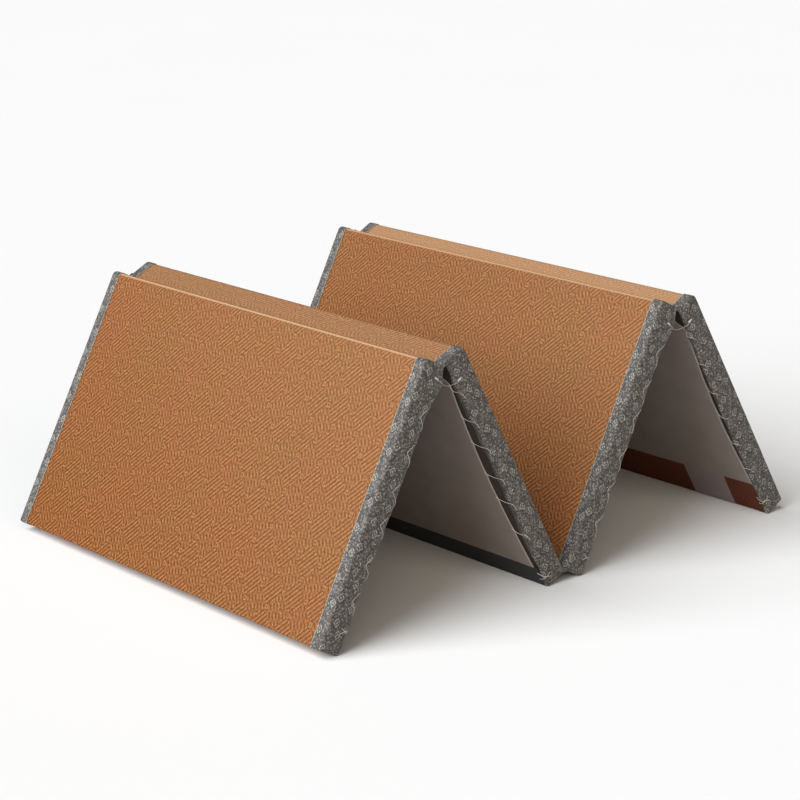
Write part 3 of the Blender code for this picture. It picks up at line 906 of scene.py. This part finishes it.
def edge_binding(name, side, flange_edge, material):
    """One folded strip as a single layer: the web over the side, its rolled edges and the flange."""
    walls = FACE_WALLS + BACK_WALLS
    rows, ys, acrosses = [], [], []
    for step in range(ROLL_STEPS + 1):
        turn = math.radians(90) * step / ROLL_STEPS

        def swell(panel, wall, s, turn=turn):
            if wall != "back":
                return 0.0
            return web_bow(panel, s) + EDGE_CURL * plateau(s) * (1 - math.sin(turn))

        spots = section_line(walls, ROLL_RADIUS * (1 - math.sin(turn)), swell, folds=WEB_FOLDS)
        depth = [tuck(spot.panel, spot.s) if spot.wall == "back" else ROLL_RADIUS for spot in spots]
        rows.append(spots)
        ys.append([HALF_WIDTH - WEB_CROWN - d * (1 - math.cos(turn)) for d in depth])
        acrosses.append([d * (turn - 1) if spot.wall != "back" else -PANEL_THICKNESS - d * (turn - 1)
                         for d, spot in zip(depth, spots)])
    flange_count = last_face_spot(rows[-1]) + 1
    flange_ys = spread(ROLLED_HALF, flange_edge, 5)[1:]
    count = len(rows[0])
    verts, uvs, faces = [], [], []
    for spots, row_ys, across in zip(rows, ys, acrosses):
        verts += [(spot.x, side * y, max(spot.z, 0.0)) for spot, y in zip(spots, row_ys)]
        uvs += [strip_place(spot, w) for spot, w in zip(spots, across)]
    for r in range(ROLL_STEPS):
        faces += band(r * count, (r + 1) * count, count, closed=True)
    start = ROLL_STEPS * count
    rolled_across = ROLL_RADIUS * (math.pi / 2 - 1)
    for y in flange_ys:
        base = len(verts)
        for spot in rows[-1][:flange_count]:
            verts.append((spot.x, side * y, max(spot.z, 0.0)))
            uvs.append(strip_place(spot, rolled_across + ROLLED_HALF - y))
        faces += band(start, base, flange_count)
        start = base
    corner_uvs = [uvs[k] for face in faces for k in face]
    add_web(rows[0], side, verts, faces, corner_uvs)
    piece = new_piece(name, verts, faces, corner_uvs, material)
    # painted shade on the web's curled edge, where it turns under into the groove
    under = [0.9 * smooth((step / ROLL_STEPS - 0.6) / 0.35) * plateau(spot.s) if spot.wall == "back" else 0.0
             for step in range(ROLL_STEPS + 1) for spot in rows[0]]
    mark(piece, "curl_painted_shade", under + [0.0] * (len(verts) - len(under)))
    raw = range(start, start + flange_count)
    mark(piece, "raw_edge", [1.0 if k in raw else 0.0 for k in range(len(verts))])
    mesh = bmesh.new()
    mesh.from_mesh(piece.data)
    bmesh.ops.recalc_face_normals(mesh, faces=mesh.faces)
    if sum(face.normal.y * face.calc_area() for face in mesh.faces) * side < 0:
        bmesh.ops.reverse_faces(mesh, faces=mesh.faces)
    mesh.to_mesh(piece.data)
    mesh.free()
    return piece


def tuck(panel, s):
    """How far in from the side the binding's stitched edge is turned onto the backing."""
    return ROLL_RADIUS + (EDGE_CURL + TUCK_SHARE * (panel.lining_inset - 0.008)) * plateau(s)


def last_face_spot(spots):
    """The last spot of the closed outline that still lies on a foot, face or head wall of the flange."""
    return max(k for k, spot in enumerate(spots) if spot.wall == "foot" and spot.panel is LAST)


def plateau(s):
    """1 along most of a panel, falling to 0 near its foot and its head."""
    return smooth((s - 0.045) / 0.05) * smooth((PANEL_LENGTH - 0.015 - s) / 0.06)


WEB_GRID = 0.0056
WEB_MARGIN = 0.003
CROWN_OVER = 0.010  # how far in from its edges the web rises to its full crown
DIMPLE, DIMPLE_REACH = 0.0012, 0.006  # how deep and how wide a stitch draws the web in


def owner_of(x):
    """The panel whose web a place along the zigzag belongs to."""
    return PANELS[sum(x > limit for limit in WEB_LIMITS)]


def web_limits():
    """Where one panel's web ends and the next one's begins: the two notches and the valley."""
    joints = (("head", FIRST, SECOND), ("face", SECOND, THIRD), ("head", THIRD, LAST))
    return [meeting(wall_line(a, wall, 0), wall_line(b, wall, 0))[0] for wall, a, b in joints]


WEB_LIMITS = web_limits()


def web_depth(panel, s, n):
    """How far a place on the web lies inside the soft crown line of its side."""
    edge = min(n - ROLL_RADIUS, PANEL_THICKNESS - ROLL_RADIUS - n, s - ROLL_RADIUS, PANEL_LENGTH - ROLL_RADIUS - s)
    pull = sum(math.exp(-((s - place) ** 2 + (n - STITCH_BITE) ** 2) / DIMPLE_REACH**2)
               for place in stitch_places(panel))
    return WEB_CROWN * (1 - smooth(edge / CROWN_OVER)) + DIMPLE * min(1.0, pull)


def add_web(outline, side, verts, faces, corner_uvs):
    """Fills the outline, whose spots are the first vertices, with a fine crowned web."""
    ring = np.array([(spot.x, max(spot.z, 0.0)) for spot in outline])
    inner = []
    for panel in PANELS:
        for s in np.arange(WEB_GRID, PANEL_LENGTH, WEB_GRID):
            for n in np.arange(-0.004, PANEL_THICKNESS, WEB_GRID):
                x, z = at(panel, s, n)
                if owner_of(x) is panel and inside(ring, x, z):
                    inner.append((x, z))
    points = [Vector(point) for point in ring.tolist() + inner]
    edges = [(k, (k + 1) % len(ring)) for k in range(len(ring))]
    out_points, _, triangles, origins, _, _ = delaunay_2d_cdt(points, edges, [], 1, 1e-7)
    index = {}
    for k, (point, origin) in enumerate(zip(out_points, origins)):
        first = min(origin) if origin else len(points)
        if first < len(ring):
            index[k] = first
            continue
        panel = owner_of(point.x)
        s, n = panel_place(panel, point.x, point.y)
        index[k] = len(verts)
        verts.append((point.x, side * (HALF_WIDTH - web_depth(panel, s, n)), point.y))
    for triangle in triangles:
        middle = sum((out_points[k] for k in triangle), Vector((0.0, 0.0))) / 3
        panel = owner_of(middle.x)
        faces.append(tuple(index[k] for k in triangle))
        for k in triangle:
            s, n = panel_place(panel, out_points[k].x, out_points[k].y)
            corner_uvs.append((panel_along(panel, s), n - PANEL_THICKNESS))


def inside(ring, x, z):
    """Whether a section point lies inside a closed outline, clear of it by WEB_MARGIN."""
    a, b = ring, np.roll(ring, -1, axis=0)
    spans = (a[:, 1] > z) != (b[:, 1] > z)
    rise = np.where(spans, b[:, 1] - a[:, 1], 1.0)
    crossings = spans & (x < a[:, 0] + (z - a[:, 1]) * (b[:, 0] - a[:, 0]) / rise)
    near = np.min(np.hypot(ring[:, 0] - x, ring[:, 1] - z)) < WEB_MARGIN
    return bool(crossings.sum() % 2) and not near


class TATAMI_OT_linings(bpy.types.Operator):
    """Hangs a lining over each tent's backing, folded at the ridge"""

    bl_idname = "tatami.linings"
    bl_label = "Backing linings"

    def execute(self, context):
        _, colours = mat_settings(context)
        material = nonwoven(colours)
        for index, (left, right) in enumerate(((FIRST, SECOND), (THIRD, LAST)), start=1):
            walls = [(left, "back"), (right, "back")]
            ends = at(left, lining_from(left), 0), at(right, lining_from(right), 0)
            rows, uvs = [], []
            shares = [-1, -0.995, -0.99, -0.975, *spread(-0.96, 0.96, 29), 0.975, 0.99, 0.995, 1]
            for share in shares:

                def swell(panel, wall, s, share=share):
                    crown = BACK_CROWN * (1 - share**2) * hump(s, back_crown_from(panel))
                    return -crown - HEM * smooth((abs(share) - 0.97) / 0.012) * hump(s, lining_from(panel)) ** 0.3

                spots = section_line(walls, 0, swell, ends)
                edges = [pulled_edge(spot) for spot in spots]
                rows.append([(spot.x, share * edge, spot.z) for spot, edge in zip(spots, edges)])
                uvs.append([(share * edge, v) for edge, v in zip(edges, developed(spots))])
            piece = grid_piece(f"nonwoven_lining_{index}", rows, uvs, material, flip=True)
            # painted highlight along the lining's cut edge
            mark(piece, "hem_highlight", [0.4 * smooth((abs(share) - 0.991) / 0.006) for share in shares for _ in spots])
            thicken(piece, LINING)
            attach(piece, "root")
            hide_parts(f"backing_lining_{index}")
        return {"FINISHED"}


HEM = 0.0005  # how far the lining's hemmed edge stands up
STITCH_PULL, PULL_REACH = 0.0016, 0.008  # how far a stitch draws that edge out, and how long the bulge is


def pulled_edge(spot):
    """The lining's edge at one spot, drawn a little to the side where a stitch holds it."""
    edge = lining_side(spot.panel, spot.s)
    near = min(abs(spot.s - place - STITCH_SPACING / 2) for place in stitch_places(spot.panel))
    return edge + STITCH_PULL * math.exp(-((near / PULL_REACH) ** 2))


class TATAMI_OT_tape_and_label(bpy.types.Operator):
    """Adds the black tape round the feet under the valley, and the bare label"""

    bl_idname = "tatami.tape_and_label"
    bl_label = "Tape and label"

    def execute(self, context):
        _, colours = mat_settings(context)
        ends = at(SECOND, TAPE_HEIGHT, 0), at(THIRD, TAPE_HEIGHT, 0)
        spots = section_line(TAPE_WALLS, 0, lambda panel, wall, s: 0.0, ends)
        along = developed(spots)
        tape_half = ROLLED_HALF - LAYER_GAP
        rows = [[(spot.x, y, max(spot.z, 0.0)) for spot in spots] for y in spread(-tape_half, tape_half, 31)]
        uvs = [[(row[0][1], v) for v in along] for row in rows]
        woven = ribbed("Black woven tape", colours.tape, 0.002, 0.75)
        tape = grid_piece("black_hinge_tape", rows, uvs, woven, flip=True)
        thicken(tape, TAPE)
        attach(tape, "root")
        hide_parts("hinge_tape")

        lift = CLOTH_INSET - LAYER_GAP - LABEL
        low, high = CLOTH_INSET + FOOT_RADIUS, TURN_IN - 2 * LAYER_GAP
        near = -HALF_WIDTH + LABEL_FROM_SIDE
        rows, uvs = [], []
        for y in spread(near, near + LABEL_WIDTH, 21):
            row = []
            for s in spread(low, high, 15):
                ripple = 0.00025 * (1 + math.sin(70 * y + 40 * s)) * side_share((s - low) / (high - low) - 0.5, 0.5)
                x, z = at(LAST, s, lift - ripple)
                row.append((x, y, z))
            rows.append(row)
            uvs.append([(y, s) for s in spread(low, high, 15)])
        label = grid_piece("bare_label", rows, uvs, ribbed("Satin label", colours.label, 0.0025, 0.5))
        thicken(label, LABEL)
        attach(label, "root")
        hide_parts("blank_label")
        return {"FINISHED"}


class TATAMI_OT_whip_stitches(bpy.types.Operator):
    """Sews the bindings to the linings with a zigzag of pale thread, tied at the feet and the ridges"""

    bl_idname = "tatami.whip_stitches"
    bl_label = "Whip stitches"

    def execute(self, context):
        sizes, colours = mat_settings(context)
        material = spun_thread(colours)
        draw = random.Random(7)
        for name, side in (("whip_stitches_near", -1), ("whip_stitches_far", 1)):
            threads = []
            for panel in PANELS:
                threads += [thread(route, sizes.thread * 0.36) for route in panel_zigzag(panel, side)]
                threads += [thread(route, sizes.thread * 0.34) for route in loose_ends(panel, side, draw)]
            for left, right in ((FIRST, SECOND), (THIRD, LAST)):
                threads.append(thread(ridge_tie(left, right, side), sizes.thread * 0.3))
                for panel in (left, right):
                    threads.append(thread(knot(panel, side), sizes.thread * KNOT_SHARE))
            for panel in PANELS:
                for offset in (0.0, 0.0028):
                    threads.append(thread(foot_tie(panel, side, offset), sizes.thread * 0.45))
            piece = joined(name, threads, material)
            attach(piece, "root")
        return {"FINISHED"}


def on_web(panel, side, s, n, lift):
    """A point lift metres outside the web, with n under 0 taken round its stitched edge."""
    bow = web_bow(panel, s)
    x, z = at(panel, s, bow + max(n, 0.0) if n < STITCH_BITE / 2 else n)
    return Vector((x, side * (HALF_WIDTH - web_depth(panel, s, max(n, ROLL_RADIUS)) + lift), z))


def round_edge(panel, side, s, lift):
    """A point on the curled edge of the web, halfway round to the groove."""
    curl = ROLL_RADIUS + EDGE_CURL * plateau(s)
    x, z = at(panel, s, web_bow(panel, s) + 0.3 * curl - lift * 0.7)
    return Vector((x, side * (HALF_WIDTH - WEB_CROWN - 0.3 * tuck(panel, s) + lift * 0.7), z))


def in_groove(panel, side, s, lift):
    """A point where the web's curled edge meets the groove."""
    x, z = at(panel, s, web_bow(panel, s) - lift)
    return Vector((x, side * (HALF_WIDTH - WEB_CROWN - tuck(panel, s)), z))


def on_lining(panel, side, s, past, lift):
    """A point on the lining, past metres in from its edge."""
    x, z = at(panel, s, -lift)
    return Vector((x, side * (lining_side(panel, s) - past), z))


def panel_zigzag(panel, side):
    """The threads up one panel: each dips out from under the web's edge, bites, and crosses the groove."""
    routes = []
    for place in stitch_places(panel):
        route = [
            on_web(panel, side, place + 0.012, 0.007, 0.0007 if panel.rises else -0.0003),
            round_edge(panel, side, place + 0.022, 0.0008),
            in_groove(panel, side, place + 0.025, 0.0010),
            on_lining(panel, side, place + 0.036, 0.0002, 0.0010),
            on_lining(panel, side, place + 0.039, 0.0020, -0.0004),
        ]
        if panel.rises:
            route[:0] = [
                in_groove(panel, side, place - 0.026, 0.0002),
                round_edge(panel, side, place - 0.023, 0.0003),
                on_web(panel, side, place - 0.012, 0.006, 0.0004),
                on_web(panel, side, place - 0.002, STITCH_BITE - 0.001, 0.0003),
                on_web(panel, side, place + 0.002, STITCH_BITE, 0.0007),
            ]
        routes.append(route)
    return routes


def loose_ends(panel, side, draw):
    """Short frayed threads that stand off the web."""
    routes = []
    for _ in range(LOOSE_ENDS):
        s, n = draw.uniform(0.06, 0.46), draw.uniform(0.010, 0.036)
        along, across = draw.uniform(-0.006, 0.006), draw.uniform(-0.004, 0.004)
        routes.append([
            on_web(panel, side, s, n, -0.0004),
            on_web(panel, side, s + 0.4 * along, n + 0.7 * across, 0.0006),
            on_web(panel, side, s + along, n + across, draw.uniform(0.0002, 0.0010)),
        ])
    return routes


LOOSE_ENDS = 7  # frayed threads on each panel's side
KNOT_SHARE = 1.3  # how much thicker than half a thread the doubled ends of a ridge tie are


def ridge_tie(left, right, side):
    """A slack thread that ties two panels' webs across the tent's tip."""
    a, b = (on_web(panel, side, panel.tie_high, STITCH_BITE, 0.0004) for panel in (left, right))
    c, d = (round_edge(panel, side, panel.tie_high - 0.005, 0.0010) for panel in (left, right))
    middle = (c + d) / 2 - Vector((0, side * 0.002, SAG))
    return [a, a.lerp(c, 0.6) + Vector((0, side * 0.0015, 0)), c, c.lerp(middle, 0.6) - Vector((0, 0, 0.0008)),
            middle, d.lerp(middle, 0.5), d, d.lerp(b, 0.4) + Vector((0, side * 0.0015, 0)), b]


SAG = 0.0035  # how far a ridge tie hangs in its middle


def knot(panel, side):
    """The doubled end of a ridge tie, pulled tight into the web."""
    s = panel.tie_high
    return [
        on_web(panel, side, s, STITCH_BITE + 0.001, -0.0004),
        on_web(panel, side, s, STITCH_BITE - 0.001, 0.0010),
        on_web(panel, side, s - 0.0005, STITCH_BITE - 0.004, 0.0012),
        on_web(panel, side, s - 0.001, STITCH_BITE - 0.0065, 0.0002),
    ]


def foot_tie(panel, side, offset):
    """A short doubled thread over the web's edge near the foot, crossing its twin."""
    s = panel.tie_low
    lean = 0.006 if offset else -0.003
    return [
        on_web(panel, side, s - lean, STITCH_BITE + 0.002, 0.0001),
        on_web(panel, side, s, 0.007, 0.0011),
        round_edge(panel, side, s + 0.4 * lean, 0.0011),
        in_groove(panel, side, s + lean, 0.0012),
        on_back(panel, side, s + 1.5 * lean, 0.014, 0.0006),
    ]


def on_back(panel, side, s, past, lift):
    """A point on the backing's cloth or tape, past metres in from the side."""
    surface = CLOTH_INSET if ends_the_mat(panel) else 0.0
    x, z = at(panel, s, surface - lift)
    return Vector((x, side * (HALF_WIDTH - past), z))


THREAD_SIDES = 6


def thread(route, radius):
    """A round thread along a smooth line through the route's points, as vertices and faces."""
    line = []
    padded = [2 * route[0] - route[1], *route, 2 * route[-1] - route[-2]]
    for k in range(1, len(padded) - 2):
        p0, p1, p2, p3 = padded[k - 1 : k + 3]
        for step in range(4):
            t = step / 4
            line.append(0.5 * (2 * p1 + (p2 - p0) * t + (2 * p0 - 5 * p1 + 4 * p2 - p3) * t * t
                               + (3 * p1 - p0 - 3 * p2 + p3) * t**3))
    line.append(route[-1])
    verts, faces = [], []
    normal = Vector((0, 1, 0))
    for k, point in enumerate(line):
        ahead = (line[min(k + 1, len(line) - 1)] - line[max(k - 1, 0)]).normalized()
        normal = (normal - ahead * normal.dot(ahead)).normalized()
        other = ahead.cross(normal)
        for side in range(THREAD_SIDES):
            angle = 2 * math.pi * side / THREAD_SIDES
            verts.append(point + radius * (math.cos(angle) * normal + math.sin(angle) * other))
    for k in range(len(line) - 1):
        faces += band(k * THREAD_SIDES, (k + 1) * THREAD_SIDES, THREAD_SIDES, closed=True)
    faces.append(tuple(range(THREAD_SIDES))[::-1])
    faces.append(tuple(range(len(verts) - THREAD_SIDES, len(verts))))
    return verts, faces


def joined(name, parts, material):
    """One mesh object of several vertex and face lists."""
    verts, faces = [], []
    for part_verts, part_faces in parts:
        base = len(verts)
        verts += [tuple(vert) for vert in part_verts]
        faces += [tuple(base + k for k in face) for face in part_faces]
    piece = new_piece(name, verts, faces, [(0.0, 0.0)] * sum(len(face) for face in faces), material)
    only(piece)
    bpy.ops.object.shade_smooth_by_angle(angle=math.radians(60))
    return piece


# Stage


CAMERA_PLACE = (-2.834069, -3.399618, 1.502946)
CAMERA_TURN_DEG = (73.984092, 1.270886, -40.202539)
CAMERA_LENS_MM = 112.5677
FLOOR_SIZE = 40.0
SOFTNESS_DEG = 60


def soft_sun(name, direction, strength, colour):
    """A very wide, even light from one direction, like a large softbox far away."""
    light = bpy.data.lights.new(name, "SUN")
    light.energy = strength
    light.angle = math.radians(SOFTNESS_DEG)
    light.color = linear(colour)[:3]
    lamp = bpy.data.objects.new(name, light)
    lamp.rotation_euler = Vector(direction).to_track_quat("Z", "Y").to_euler()
    bpy.context.scene.collection.objects.link(lamp)


class TATAMI_OT_stage(bpy.types.Operator):
    """Adds the pale floor, the soft lights and the camera at the photo's angle"""

    bl_idname = "tatami.stage"
    bl_label = "Floor, light and camera"

    def execute(self, context):
        _, colours = mat_settings(context)
        bpy.ops.object.select_all(action="DESELECT")
        bpy.ops.mesh.primitive_plane_add(size=FLOOR_SIZE, location=(0, 0, 0))
        floor = context.active_object
        floor.name = "studio_floor"
        floor.data.materials.append(studio_floor(colours))

        soft_sun("Key from the upper left", (-0.75, 0.08, 0.65), 5.2, "#F8FAFE")
        soft_sun("Fill from the front left", (-0.40, -0.80, 0.45), 1.25, "#FFF3E0")
        world = bpy.data.worlds.new("Soft studio")
        world.use_nodes = True
        background = world.node_tree.nodes["Background"]
        background.inputs["Color"].default_value = linear("#FFFFFF")
        background.inputs["Strength"].default_value = 0.06
        context.scene.world = world
        context.scene.view_settings.view_transform = "Standard"

        camera = bpy.data.cameras.new("Camera")
        camera.lens = CAMERA_LENS_MM
        camera.sensor_width = 36
        camera.clip_end = 100
        eye = bpy.data.objects.new("Camera", camera)
        eye.location = CAMERA_PLACE
        eye.rotation_euler = [math.radians(angle) for angle in CAMERA_TURN_DEG]
        context.scene.collection.objects.link(eye)
        context.scene.camera = eye
        return {"FINISHED"}


STEPS = ("pads", "face_cloth", "edge_bindings", "linings", "tape_and_label", "whip_stitches", "stage")


class TATAMI_PT_panel(bpy.types.Panel):
    """Lists the mat's pieces, sizes and colours"""

    bl_label = "Folding tatami mat"
    bl_idname = "TATAMI_PT_panel"
    bl_space_type = "VIEW_3D"
    bl_region_type = "UI"
    bl_category = "Tatami"

    def draw(self, context):
        layout = self.layout
        for step in STEPS:
            layout.operator(f"tatami.{step}")
        for group in mat_settings(context):
            for name in group.__annotations__:
                layout.prop(group, name)


CLASSES = (
    MatSizes, MatColours,
    TATAMI_OT_pads, TATAMI_OT_face_cloth, TATAMI_OT_edge_bindings, TATAMI_OT_linings,
    TATAMI_OT_tape_and_label, TATAMI_OT_whip_stitches, TATAMI_OT_stage,
    TATAMI_PT_panel,
)


def register():
    for cls in CLASSES:
        bpy.utils.register_class(cls)
    bpy.types.Scene.tatami_sizes = bpy.props.PointerProperty(type=MatSizes)
    bpy.types.Scene.tatami_colours = bpy.props.PointerProperty(type=MatColours)


def unregister():
    del bpy.types.Scene.tatami_sizes
    del bpy.types.Scene.tatami_colours
    for cls in reversed(CLASSES):
        bpy.utils.unregister_class(cls)


def main():
    register()
    for step in STEPS:
        getattr(bpy.ops.tatami, step)()


if __name__ == "__main__":
    main()
